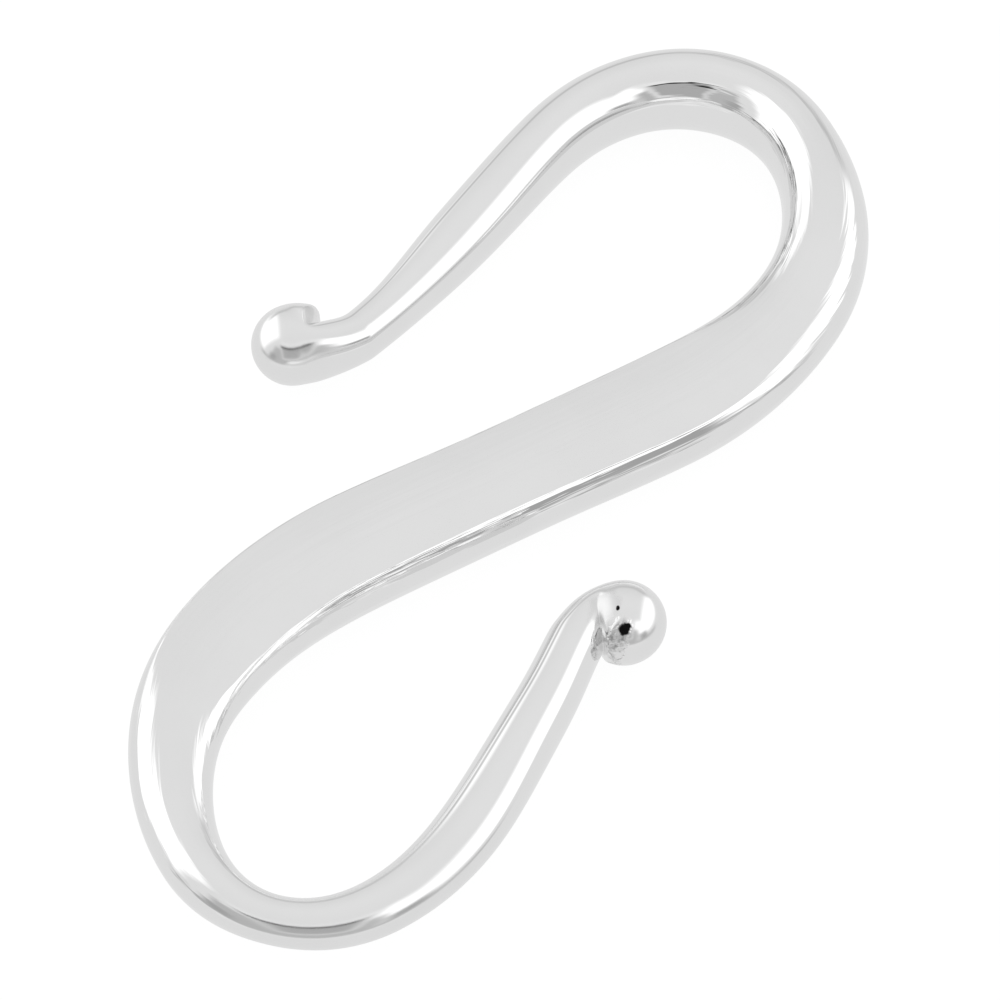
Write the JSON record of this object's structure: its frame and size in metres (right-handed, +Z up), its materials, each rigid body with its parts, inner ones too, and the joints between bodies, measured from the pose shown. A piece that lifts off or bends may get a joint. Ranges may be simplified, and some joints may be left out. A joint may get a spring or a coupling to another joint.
{
  "type": "s-hook clasp",
  "caption": "S-shaped hook clasp of polished metal, flat and wide through the middle, with two round-tipped hooks that take a ring, loop or chain end.",
  "frame": {"origin": "middle of the clasp's outline in plan, level with its lowest point", "axes": "+X along the clasp's long way, towards the large hook; +Z up, square to the plane in which the clasp lies; +Y to the side on which the large hook's tip lies"},
  "size_m": [0.0298, 0.0136, 0.0025],
  "materials": {
    "silver": "mirror-polished silver"
  },
  "bodies": {
    "root": {"s_hook": "silver"}
  },
  "joints": []
}
